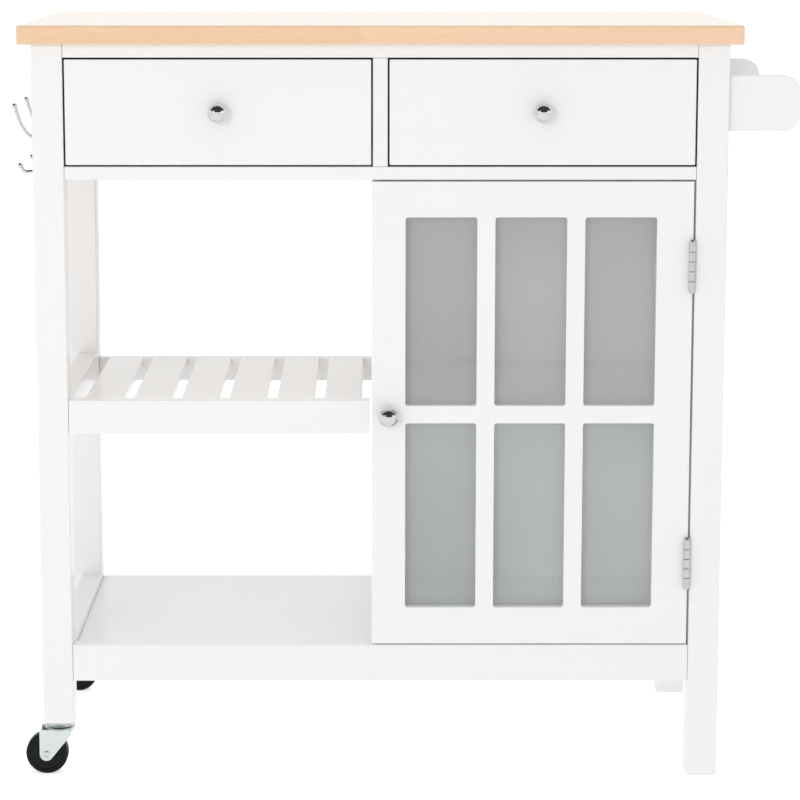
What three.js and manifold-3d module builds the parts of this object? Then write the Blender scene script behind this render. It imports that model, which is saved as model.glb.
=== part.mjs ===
// Kitchen island cart: a painted wooden frame under a varnished wooden worktop, with two drawers over an
// open bay and a glazed cabinet. Coat hooks are on its left side, a towel rack on its right side, and
// casters under its two left legs.
//
// Units are millimetres, +Z is up, the front faces -Y and the open bay is on the left (-X).
// While it is built, the cart stands on Z = 0 with the middle of its worktop over X = 0, Y = 0.

import * as THREE from "three";
import { mergeVertices } from "three/addons/utils/BufferGeometryUtils.js";
import Module from "manifold-3d";

const wasm = await Module();
wasm.setup();

// ---------------------------------------------------------------- driving dimensions

// The whole cart
const HEIGHT = 890;
const FRAME_WIDTH = 800; // outside the legs, left to right
const FRAME_DEPTH = 382; // outside the legs, front to back
const SEAM = 0.25; // the glue line or hairline between two fitted pieces

// Worktop
const TOP_THICKNESS = 22;
const TOP_OVERHANG = 14;
const TOP_EDGE_RADIUS = 2;

// Legs and rails
const LEG = 36;
const RAIL_THICKNESS = 18;
const RAIL_SETBACK = 1; // the rails' faces lie this far behind the legs' faces
const SIDE_RAIL_THICKNESS = 25;
const PANEL_THICKNESS = 15;
const TOP_RAIL_HEIGHT = 15;
const DRAWER_RAIL_HEIGHT = 15;
const DRAWER_OPENING_HEIGHT = 125;
const PARTITION_THICKNESS = 17;
const APRON_CLEARANCE = 117; // from the floor to the underside of the aprons
const APRON_HEIGHT = 44;
const SHELF_LIP = 10; // the rails stand this much above the shelf that they hold
const BOARD_THICKNESS = 12;
const BACK_THICKNESS = 4;

// Cabinet
const DIVIDER_LEFT = -9; // the left face of the panel between the bay and the cabinet
const CABINET_SHELF_LEVEL = 441;
const CABINET_SHELF_SETBACK = 43;

// Slatted shelf
const SLAT_LEVEL = 445;
const SLAT_COUNT = 6;
const SLAT_GAP = 12.5;
const SLAT_THICKNESS = 12;
const SHELF_RAIL_HEIGHT = 40;

// Drawers
const DRAWER_GAP = 2;
const DRAWER_FRONT_THICKNESS = 16;
const DRAWER_WALL = 12;
const DRAWER_LENGTH = 315;
const DRAWER_WALL_HEIGHT = 90;
const DRAWER_BOTTOM_THICKNESS = 3.5;
const GROOVE_HEIGHT_IN_WALL = 6; // from the foot of a drawer wall to its groove
const GROOVE_DEPTH = 6;
const GROOVE_PLAY = 0.25;
const RUNNER_SHEET = 1.5;
const RUNNER_WEB = 35;
const RUNNER_LEDGE = 18;
const RUNNER_LENGTH = 318;
const RUNNER_RISE = 8.5; // from the drawer rail's top to the underside of a runner
const RUNNER_PLAY = 1.5;
const DRAWER_SIDE_CLEARANCE = 11.5;

// Door
const DOOR_GAP = 2;
const DOOR_HINGE_GAP = 2.5;
const DOOR_OVERLAY = 1.25; // the door reaches this far past the divider's left face
const DOOR_THICKNESS = 18;
const DOOR_STOP_GAP = 1;
const DOOR_KNOB_STILE = 39.5;
const DOOR_HINGE_STILE = 42;
const DOOR_TOP_RAIL = 41.5;
const DOOR_BOTTOM_RAIL = 44;
const MUNTIN = 21;
const PANE_COLUMNS = 3;
const PANE_ROWS = 2;
const PANE_CORNER_RADIUS = 3;
const GLASS_THICKNESS = 4;
const GLASS_REBATE_DEPTH = 6;
const GLASS_REBATE_WIDTH = 8;
const GLASS_PLAY = 0.5;

// Hinges
const HINGE_LENGTH = 57;
const HINGE_INSET = 98; // from the door's top or bottom edge to the middle of its hinge
const BARREL_RADIUS = 4;
const PIN_RADIUS = 1.4;
const PIN_PLAY = 0.35;
const LEAF_THICKNESS = 0.9;
const LEAF_WIDTH = 21;
const LEAF_CLEARANCE = 0.1;
const KNUCKLES = 5;
const KNUCKLE_GAP = 0.4;

// Knobs
const KNOB_REACH = 23.75;
const KNOB_RADIUS = 11.75;
const KNOB_FOOT_RADIUS = 8;
const KNOB_NECK_RADIUS = 4.5;

// Casters
const WHEEL_RADIUS = 25;
const WHEEL_WIDTH = 18;
const WHEEL_CLEARANCE = 4; // from the wheel's top to the underside of its fork
const HUB_RADIUS = 8;
const HUB_STAND_OUT = 1.25;
const AXLE_RADIUS = 3;
const AXLE_PLAY = 0.3;
const CASTER_TRAIL = 16;
const CASTER_PLATE_THICKNESS = 1.75;
const RACE_RADIUS = 18;
const RACE_HEIGHT = 3.75;
const RACE_GAP = 0.75;
const FORK_SHEET = 2;
const FORK_TOP_THICKNESS = 3.5;
const FORK_END_RADIUS = 8;
const CHEEK_PLAY = 0.5;
const KING_PIN_RADIUS = 4;
const KING_PIN_HEAD_RADIUS = 7;
const KING_PIN_HEAD = 2.5;
const KING_PIN_PLAY = 0.5;

// Coat hooks on the left side
const HOOK_COUNT = 3;
const HOOK_PITCH = 110;
const FIRST_HOOK = 74; // from the legs' front faces to the first hook
const HOOK_DROP = 123; // from the legs' top down to the middle of a hook's plate
const HOOK_REACH = 43; // from the side panel to the tip of the long prong
const HOOK_WIRE_RADIUS = 2.4;
const HOOK_TIP_RADIUS = 3.75;
const HOOK_PLATE = { width: 15, height: 62, thickness: 3 };

// Towel rack on the right side
const BRACKET_REACH = 84;
const BRACKET_HEIGHT = 64;
const BRACKET_THICKNESS = 18;
const BRACKET_DROP = 36; // from the legs' top down to the brackets' top edge
const BRACKET_CORNER_RADIUS = 22;
const BAR_RADIUS = 10;
const BAR_FROM_END = 29; // from the brackets' outer ends to the bar's axis
const BAR_SOCKET_DEPTH = 9;
const BAR_PLAY = 0.3;

// ---------------------------------------------------------------- levels and planes that pieces share

const legTop = HEIGHT - TOP_THICKNESS;
const legOuterX = FRAME_WIDTH / 2;
const legInnerX = legOuterX - LEG;
const legOuterY = FRAME_DEPTH / 2;
const legInnerY = legOuterY - LEG;
const legCentreX = legOuterX - LEG / 2;
const legCentreY = legOuterY - LEG / 2;
const railFrontY = -legOuterY + RAIL_SETBACK;
const railBackY = railFrontY + RAIL_THICKNESS;
const sideFaceX = legInnerX + SIDE_RAIL_THICKNESS; // outer faces of side rails and side panels
const sideInnerX = sideFaceX - PANEL_THICKNESS;

const drawerCeiling = legTop - TOP_RAIL_HEIGHT;
const drawerFloor = drawerCeiling - DRAWER_OPENING_HEIGHT;
const bayCeiling = drawerFloor - DRAWER_RAIL_HEIGHT;
const apronTop = APRON_CLEARANCE + APRON_HEIGHT;
const boardTop = apronTop - SHELF_LIP;

const backY = -railFrontY - PANEL_THICKNESS; // front faces of both back panels
const dividerRight = DIVIDER_LEFT + PANEL_THICKNESS;
const doorBackY = -legOuterY + DOOR_THICKNESS;
const dividerFrontY = doorBackY + DOOR_STOP_GAP;

// The levels of a caster, from the wheel's top up.
const forkUnderside = 2 * WHEEL_RADIUS + WHEEL_CLEARANCE;
const forkTop = forkUnderside + FORK_TOP_THICKNESS;
const raceFoot = forkTop + RACE_GAP;
const plateFoot = raceFoot + RACE_HEIGHT;
const casterHeight = plateFoot + CASTER_PLATE_THICKNESS + SEAM;
const kingPinFoot = forkUnderside - KING_PIN_PLAY - KING_PIN_HEAD;

// ---------------------------------------------------------------- materials

function finish(color, roughness, metalness) {
  return new THREE.MeshStandardMaterial({ color, roughness, metalness });
}

const paint = finish(0xf3f2f0, 0.45, 0);
const varnishedWood = finish(0xe8c491, 0.35, 0);
const drawerWood = finish(0xe9dcc6, 0.6, 0);
const chrome = finish(0xc9ccd0, 0.12, 1);
const zinc = finish(0xb4b8ba, 0.35, 1);
const runnerSteel = finish(0xeeeeea, 0.4, 0.2);
const wheelRubber = finish(0x18181a, 0.7, 0);
const clearGlass = finish(0xc4d2cd, 0.08, 0);
clearGlass.transparent = true;
clearGlass.opacity = 0.35;

// ---------------------------------------------------------------- building blocks

// A geometry as a manifold-3d solid.
function solid(geometry) {
  const bare = geometry.clone();
  bare.deleteAttribute("normal");
  bare.deleteAttribute("uv");
  const merged = mergeVertices(bare, 1e-4);
  return new wasm.Manifold(
    new wasm.Mesh({
      numProp: 3,
      vertProperties: merged.attributes.position.array,
      triVerts: new Uint32Array(merged.index.array),
    }),
  );
}

// A manifold-3d solid as a geometry.
function geometryOf(body) {
  const { vertProperties, triVerts } = body.getMesh();
  const geometry = new THREE.BufferGeometry();
  geometry.setAttribute("position", new THREE.BufferAttribute(vertProperties, 3));
  geometry.setIndex(new THREE.BufferAttribute(triVerts, 1));
  return geometry;
}

function join(first, ...others) {
  return geometryOf(others.reduce((sum, g) => sum.add(solid(g)), solid(first)));
}

function cut(first, ...others) {
  return geometryOf(others.reduce((rest, g) => rest.subtract(solid(g)), solid(first)));
}

// A box between two corners.
function block([x0, y0, z0], [x1, y1, z1]) {
  const geometry = new THREE.BoxGeometry(x1 - x0, y1 - y0, z1 - z0);
  return geometry.translate((x0 + x1) / 2, (y0 + y1) / 2, (z0 + z1) / 2);
}

// A cylinder that stands on z0 and reaches z1.
function post(radius, z0, z1, sides = 24) {
  const geometry = new THREE.CylinderGeometry(radius, radius, z1 - z0, sides);
  return geometry.rotateX(Math.PI / 2).translate(0, 0, (z0 + z1) / 2);
}

// A cylinder along Y, from y0 to y1.
function rod(radius, y0, y1, sides = 24, x = 0, z = 0) {
  const geometry = new THREE.CylinderGeometry(radius, radius, y1 - y0, sides);
  return geometry.translate(x, (y0 + y1) / 2, z);
}

// An outline in X and Z with its thickness along +Y from y = 0.
function plateXZ(shape, thickness, curveSegments = 8) {
  const geometry = new THREE.ExtrudeGeometry(shape, { depth: thickness, bevelEnabled: false, curveSegments });
  return geometry.rotateX(Math.PI / 2).translate(0, thickness, 0);
}

function roundedRectangle(path, x0, z0, x1, z1, radius) {
  path.moveTo(x0 + radius, z0);
  path.lineTo(x1 - radius, z0);
  path.absarc(x1 - radius, z0 + radius, radius, -Math.PI / 2, 0);
  path.lineTo(x1, z1 - radius);
  path.absarc(x1 - radius, z1 - radius, radius, 0, Math.PI / 2);
  path.lineTo(x0 + radius, z1);
  path.absarc(x0 + radius, z1 - radius, radius, Math.PI / 2, Math.PI);
  path.lineTo(x0, z0 + radius);
  path.absarc(x0 + radius, z0 + radius, radius, Math.PI, Math.PI * 1.5);
  return path;
}

function piece(name, geometry, material) {
  const mesh = new THREE.Mesh(geometry, material.clone());
  mesh.name = name;
  return mesh;
}

function board(name, low, high, material = paint) {
  return piece(name, block(low, high), material);
}

// ---------------------------------------------------------------- worktop

function worktop() {
  const halfLength = legOuterX + TOP_OVERHANG - TOP_EDGE_RADIUS;
  const halfDepth = legOuterY + TOP_OVERHANG - TOP_EDGE_RADIUS;
  const outline = new THREE.Shape();
  outline.moveTo(-halfLength, -halfDepth);
  outline.lineTo(halfLength, -halfDepth);
  outline.lineTo(halfLength, halfDepth);
  outline.lineTo(-halfLength, halfDepth);
  const slab = new THREE.ExtrudeGeometry(outline, {
    depth: TOP_THICKNESS - SEAM - 2 * TOP_EDGE_RADIUS,
    bevelSize: TOP_EDGE_RADIUS,
    bevelThickness: TOP_EDGE_RADIUS,
    bevelSegments: 2,
  });
  return piece("worktop", slab.translate(0, 0, legTop + SEAM + TOP_EDGE_RADIUS), varnishedWood);
}

// ---------------------------------------------------------------- frame

function legs() {
  const group = new THREE.Group();
  for (const [row, sideY] of [["front", -1], ["rear", 1]]) {
    for (const [side, sideX] of [["left", -1], ["right", 1]]) {
      const foot = side === "left" ? casterHeight : 0;
      const geometry = new THREE.BoxGeometry(LEG, LEG, legTop - foot);
      const leg = piece(`leg_${row}_${side}`, geometry, paint);
      leg.position.set(sideX * legCentreX, sideY * legCentreY, (legTop + foot) / 2);
      group.add(leg);
    }
  }
  return group;
}

// A board between the left and right legs, in front or at the back.
function crossRail(name, z0, z1, y0 = railFrontY, y1 = railBackY) {
  return board(name, [-legInnerX + SEAM, y0, z0], [legInnerX - SEAM, y1, z1]);
}

// A rail between a front and a rear leg, flush with their inner faces. side is -1 on the left, 1 on the
// right.
function sideRail(name, side, z0, z1) {
  const [x0, x1] = [side * legInnerX, side * sideFaceX].sort((a, b) => a - b);
  return board(name, [x0, -legInnerY + SEAM, z0], [x1, legInnerY - SEAM, z1]);
}

// A thinner panel between a front and a rear leg, flush with the side rails' outer faces.
function sidePanel(name, side, z0, z1) {
  const [x0, x1] = [side * sideInnerX, side * sideFaceX].sort((a, b) => a - b);
  return board(name, [x0, -legInnerY + SEAM, z0], [x1, legInnerY - SEAM, z1]);
}

function frame() {
  const group = new THREE.Group();
  group.add(worktop(), legs());
  group.add(crossRail("top_rail_front", drawerCeiling, legTop));
  group.add(crossRail("drawer_rail_front", bayCeiling, drawerFloor));
  group.add(crossRail("apron_front", APRON_CLEARANCE, apronTop));
  group.add(crossRail("apron_rear", APRON_CLEARANCE, boardTop, -railBackY, -railFrontY));
  group.add(crossRail("back_panel_upper", bayCeiling, legTop, backY, -railFrontY));
  group.add(sideRail("apron_left", -1, APRON_CLEARANCE, apronTop));
  group.add(sideRail("apron_right", 1, APRON_CLEARANCE, apronTop));
  group.add(sidePanel("side_panel_left", -1, bayCeiling, legTop));
  group.add(sidePanel("side_panel_right", 1, apronTop + SEAM, legTop));
  const half = PARTITION_THICKNESS / 2;
  group.add(
    board(
      "drawer_partition",
      [-half, railFrontY, drawerFloor + SEAM],
      [half, backY - SEAM, drawerCeiling - SEAM],
    ),
  );
  group.add(
    board(
      "bottom_board",
      [-legInnerX + SEAM, railBackY + SEAM, boardTop - BOARD_THICKNESS],
      [legInnerX - SEAM, -railBackY - SEAM, boardTop],
    ),
  );
  return group;
}

// ---------------------------------------------------------------- cabinet

// The panel between the bay and the cabinet: its ends butt against the backs of the apron and the drawer
// rail, and between those two it stops short of the door.
function cabinetDivider() {
  const frontY = -legOuterY;
  const panel = block([DIVIDER_LEFT, frontY, boardTop + SEAM], [dividerRight, backY - SEAM, drawerFloor]);
  const clear = (z0, z1, y1) => block([DIVIDER_LEFT - 1, frontY - 1, z0], [dividerRight + 1, y1, z1]);
  const body = cut(
    panel,
    clear(boardTop, apronTop, railBackY),
    clear(apronTop, bayCeiling, dividerFrontY),
    clear(bayCeiling, drawerFloor + 1, railBackY),
  );
  return piece("cabinet_divider", body, paint);
}

function cabinet() {
  const group = new THREE.Group();
  group.add(cabinetDivider());
  group.add(
    board(
      "cabinet_back",
      [DIVIDER_LEFT, backY, boardTop + SEAM],
      [legInnerX - SEAM, backY + BACK_THICKNESS, bayCeiling - SEAM],
    ),
  );
  group.add(
    board(
      "cabinet_shelf",
      [dividerRight + SEAM, -legOuterY + CABINET_SHELF_SETBACK, CABINET_SHELF_LEVEL - PANEL_THICKNESS],
      [legInnerX - SEAM, backY - SEAM, CABINET_SHELF_LEVEL],
    ),
  );
  return group;
}

// ---------------------------------------------------------------- slatted shelf in the open bay

function slattedShelf() {
  const group = new THREE.Group();
  const left = -legInnerX;
  const right = DIVIDER_LEFT;
  const railTop = SLAT_LEVEL + SHELF_LIP;
  const railFoot = railTop - SHELF_RAIL_HEIGHT;
  const frontRailEnd = right - DOOR_OVERLAY - DOOR_GAP;
  group.add(
    board("shelf_rail_front", [left + SEAM, railFrontY, railFoot], [frontRailEnd, railBackY, railTop]),
  );
  group.add(
    board("shelf_rail_rear", [left + SEAM, -railBackY, railFoot], [right - SEAM, -railFrontY, SLAT_LEVEL]),
  );
  group.add(sideRail("shelf_rail_left", -1, railFoot, railTop));
  const slatWidth = (right - left - (SLAT_COUNT + 1) * SLAT_GAP) / SLAT_COUNT;
  for (let i = 0; i < SLAT_COUNT; i++) {
    const x0 = left + SLAT_GAP + i * (slatWidth + SLAT_GAP);
    group.add(
      board(
        `slat_${i + 1}`,
        [x0, railBackY + SEAM, SLAT_LEVEL - SLAT_THICKNESS],
        [x0 + slatWidth, -railBackY - SEAM, SLAT_LEVEL],
      ),
    );
  }
  return group;
}

// ---------------------------------------------------------------- knobs

// A turned ball knob whose foot is at the origin and which points along -Y.
function knobGeometry() {
  const profile = new THREE.Path();
  const ballCentre = KNOB_REACH - KNOB_RADIUS;
  const neckTop = ballCentre - Math.sqrt(KNOB_RADIUS ** 2 - KNOB_NECK_RADIUS ** 2);
  const footThickness = neckTop * 0.6;
  const neckAngle = Math.atan2(neckTop - ballCentre, KNOB_NECK_RADIUS);
  profile.moveTo(0, 0);
  profile.lineTo(KNOB_FOOT_RADIUS, 0);
  profile.lineTo(KNOB_FOOT_RADIUS, footThickness);
  profile.lineTo(KNOB_NECK_RADIUS, footThickness);
  profile.absarc(0, ballCentre, KNOB_RADIUS, neckAngle, Math.PI / 2);
  const points = profile.getPoints(6);
  points[points.length - 1].x = 0;
  return new THREE.LatheGeometry(points, 20).rotateX(Math.PI);
}

function knob(name, x, z) {
  const mesh = piece(name, knobGeometry(), chrome);
  mesh.position.set(x, -legOuterY - SEAM, z);
  return mesh;
}

// ---------------------------------------------------------------- drawers

// One drawer between x0 and x1, the two faces of its opening, and its pair of runners.
function drawer(side, x0, x1) {
  const group = new THREE.Group();
  const frontBack = -legOuterY + DRAWER_FRONT_THICKNESS;
  const left = x0 + DRAWER_SIDE_CLEARANCE;
  const right = x1 - DRAWER_SIDE_CLEARANCE;
  const y0 = frontBack + SEAM;
  const y1 = y0 + DRAWER_LENGTH;
  const ledgeTop = drawerFloor + RUNNER_RISE + RUNNER_SHEET;
  const z0 = ledgeTop + RUNNER_PLAY;
  const z1 = z0 + DRAWER_WALL_HEIGHT;
  const grooveFoot = z0 + GROOVE_HEIGHT_IN_WALL;
  const grooveTop = grooveFoot + DRAWER_BOTTOM_THICKNESS + 2 * GROOVE_PLAY;

  const bottomLow = [
    left + DRAWER_WALL - GROOVE_DEPTH + GROOVE_PLAY,
    frontBack - GROOVE_DEPTH + GROOVE_PLAY,
    grooveFoot + GROOVE_PLAY,
  ];
  const bottomHigh = [
    right - DRAWER_WALL + GROOVE_DEPTH - GROOVE_PLAY,
    y1 - DRAWER_WALL + GROOVE_DEPTH - GROOVE_PLAY,
    grooveTop - GROOVE_PLAY,
  ];
  const groove = block(
    [bottomLow[0] - GROOVE_PLAY, bottomLow[1] - GROOVE_PLAY, grooveFoot],
    [bottomHigh[0] + GROOVE_PLAY, bottomHigh[1] + GROOVE_PLAY, grooveTop],
  );

  const face = block(
    [x0 + DRAWER_GAP, -legOuterY, drawerFloor + DRAWER_GAP],
    [x1 - DRAWER_GAP, frontBack, drawerCeiling - DRAWER_GAP],
  );
  const walls = block([left, y0, z0], [right, y1, z1]);
  const inside = block(
    [left + DRAWER_WALL, y0 - DRAWER_WALL, z0 - DRAWER_WALL],
    [right - DRAWER_WALL, y1 - DRAWER_WALL, z1 + DRAWER_WALL],
  );
  group.add(piece(`drawer_${side}_front`, cut(face, groove), paint));
  group.add(piece(`drawer_${side}_wrap`, cut(walls, inside, groove), drawerWood));
  group.add(board(`drawer_${side}_bottom`, bottomLow, bottomHigh, drawerWood));
  group.add(knob(`drawer_${side}_knob`, (x0 + x1) / 2, (drawerFloor + drawerCeiling) / 2));
  group.add(runner(`drawer_${side}_runner_outer`, side === "left" ? x0 : x1, side === "left" ? 1 : -1));
  group.add(runner(`drawer_${side}_runner_inner`, side === "left" ? x1 : x0, side === "left" ? -1 : 1));
  return group;
}

// An angle of sheet steel on the face at x: its ledge points to inward (1 or -1) and carries a drawer's
// wall.
function runner(name, x, inward) {
  const foot = drawerFloor + RUNNER_RISE;
  const near = SEAM;
  const outline = new THREE.Shape([
    new THREE.Vector2(near, foot),
    new THREE.Vector2(near + RUNNER_LEDGE, foot),
    new THREE.Vector2(near + RUNNER_LEDGE, foot + RUNNER_SHEET),
    new THREE.Vector2(near + RUNNER_SHEET, foot + RUNNER_SHEET),
    new THREE.Vector2(near + RUNNER_SHEET, foot + RUNNER_WEB),
    new THREE.Vector2(near, foot + RUNNER_WEB),
  ]);
  const mesh = piece(name, plateXZ(outline, RUNNER_LENGTH), runnerSteel);
  mesh.scale.x = inward;
  mesh.position.set(x, railBackY + SEAM, 0);
  return mesh;
}

function drawers() {
  const group = new THREE.Group();
  const half = PARTITION_THICKNESS / 2;
  group.add(drawer("left", -legInnerX, -half), drawer("right", half, legInnerX));
  return group;
}

// ---------------------------------------------------------------- door

const doorLeft = DIVIDER_LEFT - DOOR_OVERLAY;
const doorRight = legInnerX - DOOR_HINGE_GAP;
const doorBottom = apronTop + DOOR_GAP;
const doorTop = bayCeiling - DOOR_GAP;
const lightsLeft = doorLeft + DOOR_KNOB_STILE;
const lightsRight = doorRight - DOOR_HINGE_STILE;
const lightsBottom = doorBottom + DOOR_BOTTOM_RAIL;
const lightsTop = doorTop - DOOR_TOP_RAIL;

function doorFrame() {
  const outline = roundedRectangle(new THREE.Shape(), doorLeft, doorBottom, doorRight, doorTop, 1);
  const paneWidth = (lightsRight - lightsLeft - (PANE_COLUMNS - 1) * MUNTIN) / PANE_COLUMNS;
  const paneHeight = (lightsTop - lightsBottom - (PANE_ROWS - 1) * MUNTIN) / PANE_ROWS;
  for (let column = 0; column < PANE_COLUMNS; column++) {
    for (let row = 0; row < PANE_ROWS; row++) {
      const x = lightsLeft + column * (paneWidth + MUNTIN);
      const z = lightsBottom + row * (paneHeight + MUNTIN);
      outline.holes.push(
        roundedRectangle(new THREE.Path(), x, z, x + paneWidth, z + paneHeight, PANE_CORNER_RADIUS),
      );
    }
  }
  const slab = plateXZ(outline, DOOR_THICKNESS, 3).translate(0, -legOuterY, 0);
  const rebate = block(
    [lightsLeft - GLASS_REBATE_WIDTH, doorBackY - GLASS_REBATE_DEPTH, lightsBottom - GLASS_REBATE_WIDTH],
    [lightsRight + GLASS_REBATE_WIDTH, doorBackY + DOOR_THICKNESS, lightsTop + GLASS_REBATE_WIDTH],
  );
  return piece("door_frame", cut(slab, rebate), paint);
}

function doorGlass() {
  const margin = GLASS_REBATE_WIDTH - GLASS_PLAY;
  const frontY = doorBackY - GLASS_REBATE_DEPTH + GLASS_PLAY;
  return board(
    "door_glass",
    [lightsLeft - margin, frontY, lightsBottom - margin],
    [lightsRight + margin, frontY + GLASS_THICKNESS, lightsTop + margin],
    clearGlass,
  );
}

// ---------------------------------------------------------------- hinges

// One leaf of a butt hinge about the Z axis, its plate reaching along +Y. The frame leaf has the end
// knuckles and the pin. The plate's two faces lie at plateX and plateX + LEAF_THICKNESS.
function hingeLeaf(isFrameLeaf, plateX) {
  const knuckle = (HINGE_LENGTH - (KNUCKLES - 1) * KNUCKLE_GAP) / KNUCKLES;
  const plateStart = BARREL_RADIUS;
  const foot = -HINGE_LENGTH / 2;
  const plateBack = plateX + LEAF_THICKNESS;
  const parts = [
    block([plateX, plateStart, foot], [plateBack, plateStart + LEAF_WIDTH, foot + HINGE_LENGTH]),
  ];
  for (let i = 0; i < KNUCKLES; i++) {
    const isOwn = (i % 2 === 0) === isFrameLeaf;
    if (!isOwn) continue;
    const z0 = foot + i * (knuckle + KNUCKLE_GAP);
    parts.push(post(BARREL_RADIUS, z0, z0 + knuckle, 16));
    parts.push(block([plateX, 0, z0], [plateBack, plateStart + LEAF_THICKNESS, z0 + knuckle]));
  }
  if (isFrameLeaf) {
    parts.push(post(PIN_RADIUS, foot, foot + HINGE_LENGTH, 12));
    return join(...parts);
  }
  return cut(join(...parts), post(PIN_RADIUS + PIN_PLAY, foot - 1, foot + HINGE_LENGTH + 1, 12));
}

const hingeAxisX = legInnerX - BARREL_RADIUS;
const hingeAxisY = -legOuterY - BARREL_RADIUS;

function hinges() {
  const group = new THREE.Group();
  const frameLeafX = legInnerX - LEAF_CLEARANCE - LEAF_THICKNESS - hingeAxisX;
  const doorLeafX = doorRight + LEAF_CLEARANCE - hingeAxisX;
  for (const [place, z] of [["upper", doorTop - HINGE_INSET], ["lower", doorBottom + HINGE_INSET]]) {
    const frameLeaf = piece(`hinge_${place}_frame_leaf`, hingeLeaf(true, frameLeafX), zinc);
    const doorLeaf = piece(`hinge_${place}_door_leaf`, hingeLeaf(false, doorLeafX), zinc);
    frameLeaf.position.set(hingeAxisX, hingeAxisY, z);
    doorLeaf.position.set(hingeAxisX, hingeAxisY, z);
    group.add(frameLeaf, doorLeaf);
  }
  return group;
}

function door() {
  const group = new THREE.Group();
  group.add(doorFrame(), doorGlass(), hinges());
  group.add(knob("door_knob", doorLeft + DOOR_KNOB_STILE / 2, (doorBottom + doorTop) / 2));
  return group;
}

// ---------------------------------------------------------------- casters

// Plate, upper race and king pin, about the leg's axis.
function casterPlate() {
  const half = LEG / 2 - 1;
  return join(
    block([-half, -half, plateFoot], [half, half, plateFoot + CASTER_PLATE_THICKNESS]),
    post(RACE_RADIUS, raceFoot, plateFoot + CASTER_PLATE_THICKNESS / 2, 24),
    post(KING_PIN_RADIUS, kingPinFoot + KING_PIN_HEAD / 2, raceFoot + RACE_HEIGHT / 2, 16),
    post(KING_PIN_HEAD_RADIUS, kingPinFoot, kingPinFoot + KING_PIN_HEAD, 16),
  );
}

// Fork with its axle: a round top over two cheeks that taper down to the axle behind the king pin.
function casterFork() {
  const hubHalf = WHEEL_WIDTH / 2 + HUB_STAND_OUT;
  const cheekInner = hubHalf + CHEEK_PLAY;
  const axle = new THREE.Vector2(-CASTER_TRAIL, WHEEL_RADIUS);
  const shoulder = new THREE.Vector2(RACE_RADIUS, forkUnderside - FORK_SHEET);
  const away = shoulder.clone().sub(axle);
  const tangent = away.angle() - Math.acos(FORK_END_RADIUS / away.length());
  const outline = new THREE.Shape();
  outline.moveTo(axle.x - FORK_END_RADIUS, axle.y);
  outline.absarc(axle.x, axle.y, FORK_END_RADIUS, Math.PI, tangent + 2 * Math.PI);
  outline.lineTo(shoulder.x, shoulder.y);
  outline.lineTo(shoulder.x, forkUnderside + FORK_SHEET);
  outline.lineTo(-RACE_RADIUS, forkUnderside + FORK_SHEET);
  outline.lineTo(axle.x - FORK_END_RADIUS, forkUnderside - FORK_TOP_THICKNESS);
  const nearCheek = plateXZ(outline, FORK_SHEET, 6).translate(0, -cheekInner - FORK_SHEET, 0);
  const farCheek = plateXZ(outline, FORK_SHEET, 6).translate(0, cheekInner, 0);
  const cheekOuter = cheekInner + FORK_SHEET;
  const fork = join(
    post(RACE_RADIUS, forkUnderside, forkTop),
    nearCheek,
    farCheek,
    rod(AXLE_RADIUS, -cheekOuter - 1, cheekOuter + 1, 20, axle.x, axle.y),
  );
  return cut(fork, post(KING_PIN_RADIUS + KING_PIN_PLAY, forkUnderside - 1, forkTop + 1, 16));
}

// Wheel about the Y axis: a tread with rounded shoulders on a hub with a bore.
function casterWheel() {
  const half = WHEEL_WIDTH / 2;
  const hubHalf = half + HUB_STAND_OUT;
  const bore = AXLE_RADIUS + AXLE_PLAY;
  const shoulder = 3;
  const profile = new THREE.Path();
  profile.moveTo(bore, -hubHalf);
  profile.lineTo(HUB_RADIUS, -hubHalf);
  profile.lineTo(HUB_RADIUS, -half);
  profile.lineTo(WHEEL_RADIUS - shoulder, -half);
  profile.absarc(WHEEL_RADIUS - shoulder, -half + shoulder, shoulder, -Math.PI / 2, 0);
  profile.absarc(WHEEL_RADIUS - shoulder, half - shoulder, shoulder, 0, Math.PI / 2);
  profile.lineTo(HUB_RADIUS, half);
  profile.lineTo(HUB_RADIUS, hubHalf);
  profile.lineTo(bore, hubHalf);
  profile.lineTo(bore, -hubHalf);
  return new THREE.LatheGeometry(profile.getPoints(2), 32);
}

function casters() {
  const group = new THREE.Group();
  for (const [row, y] of [["front", -legCentreY], ["rear", legCentreY]]) {
    const caster = new THREE.Group();
    const wheel = piece(`caster_${row}_wheel`, casterWheel(), wheelRubber);
    wheel.position.set(-CASTER_TRAIL, 0, WHEEL_RADIUS);
    caster.add(piece(`caster_${row}_plate`, casterPlate(), zinc));
    caster.add(piece(`caster_${row}_fork`, casterFork(), zinc));
    caster.add(wheel);
    caster.position.set(-legCentreX, y, 0);
    group.add(caster);
  }
  return group;
}

// ---------------------------------------------------------------- coat hooks

// A bent wire with a ball on its end.
function prong(points) {
  const path = new THREE.CatmullRomCurve3(points.map(([x, z]) => new THREE.Vector3(x, 0, z)));
  const section = new THREE.Shape().absarc(0, 0, HOOK_WIRE_RADIUS, 0, 2 * Math.PI);
  const wire = new THREE.ExtrudeGeometry(section, { steps: 8, curveSegments: 4, extrudePath: path });
  const [x, z] = points[points.length - 1];
  const ball = new THREE.SphereGeometry(HOOK_TIP_RADIUS, 12, 8).translate(x, 0, z);
  return [wire, ball];
}

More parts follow.
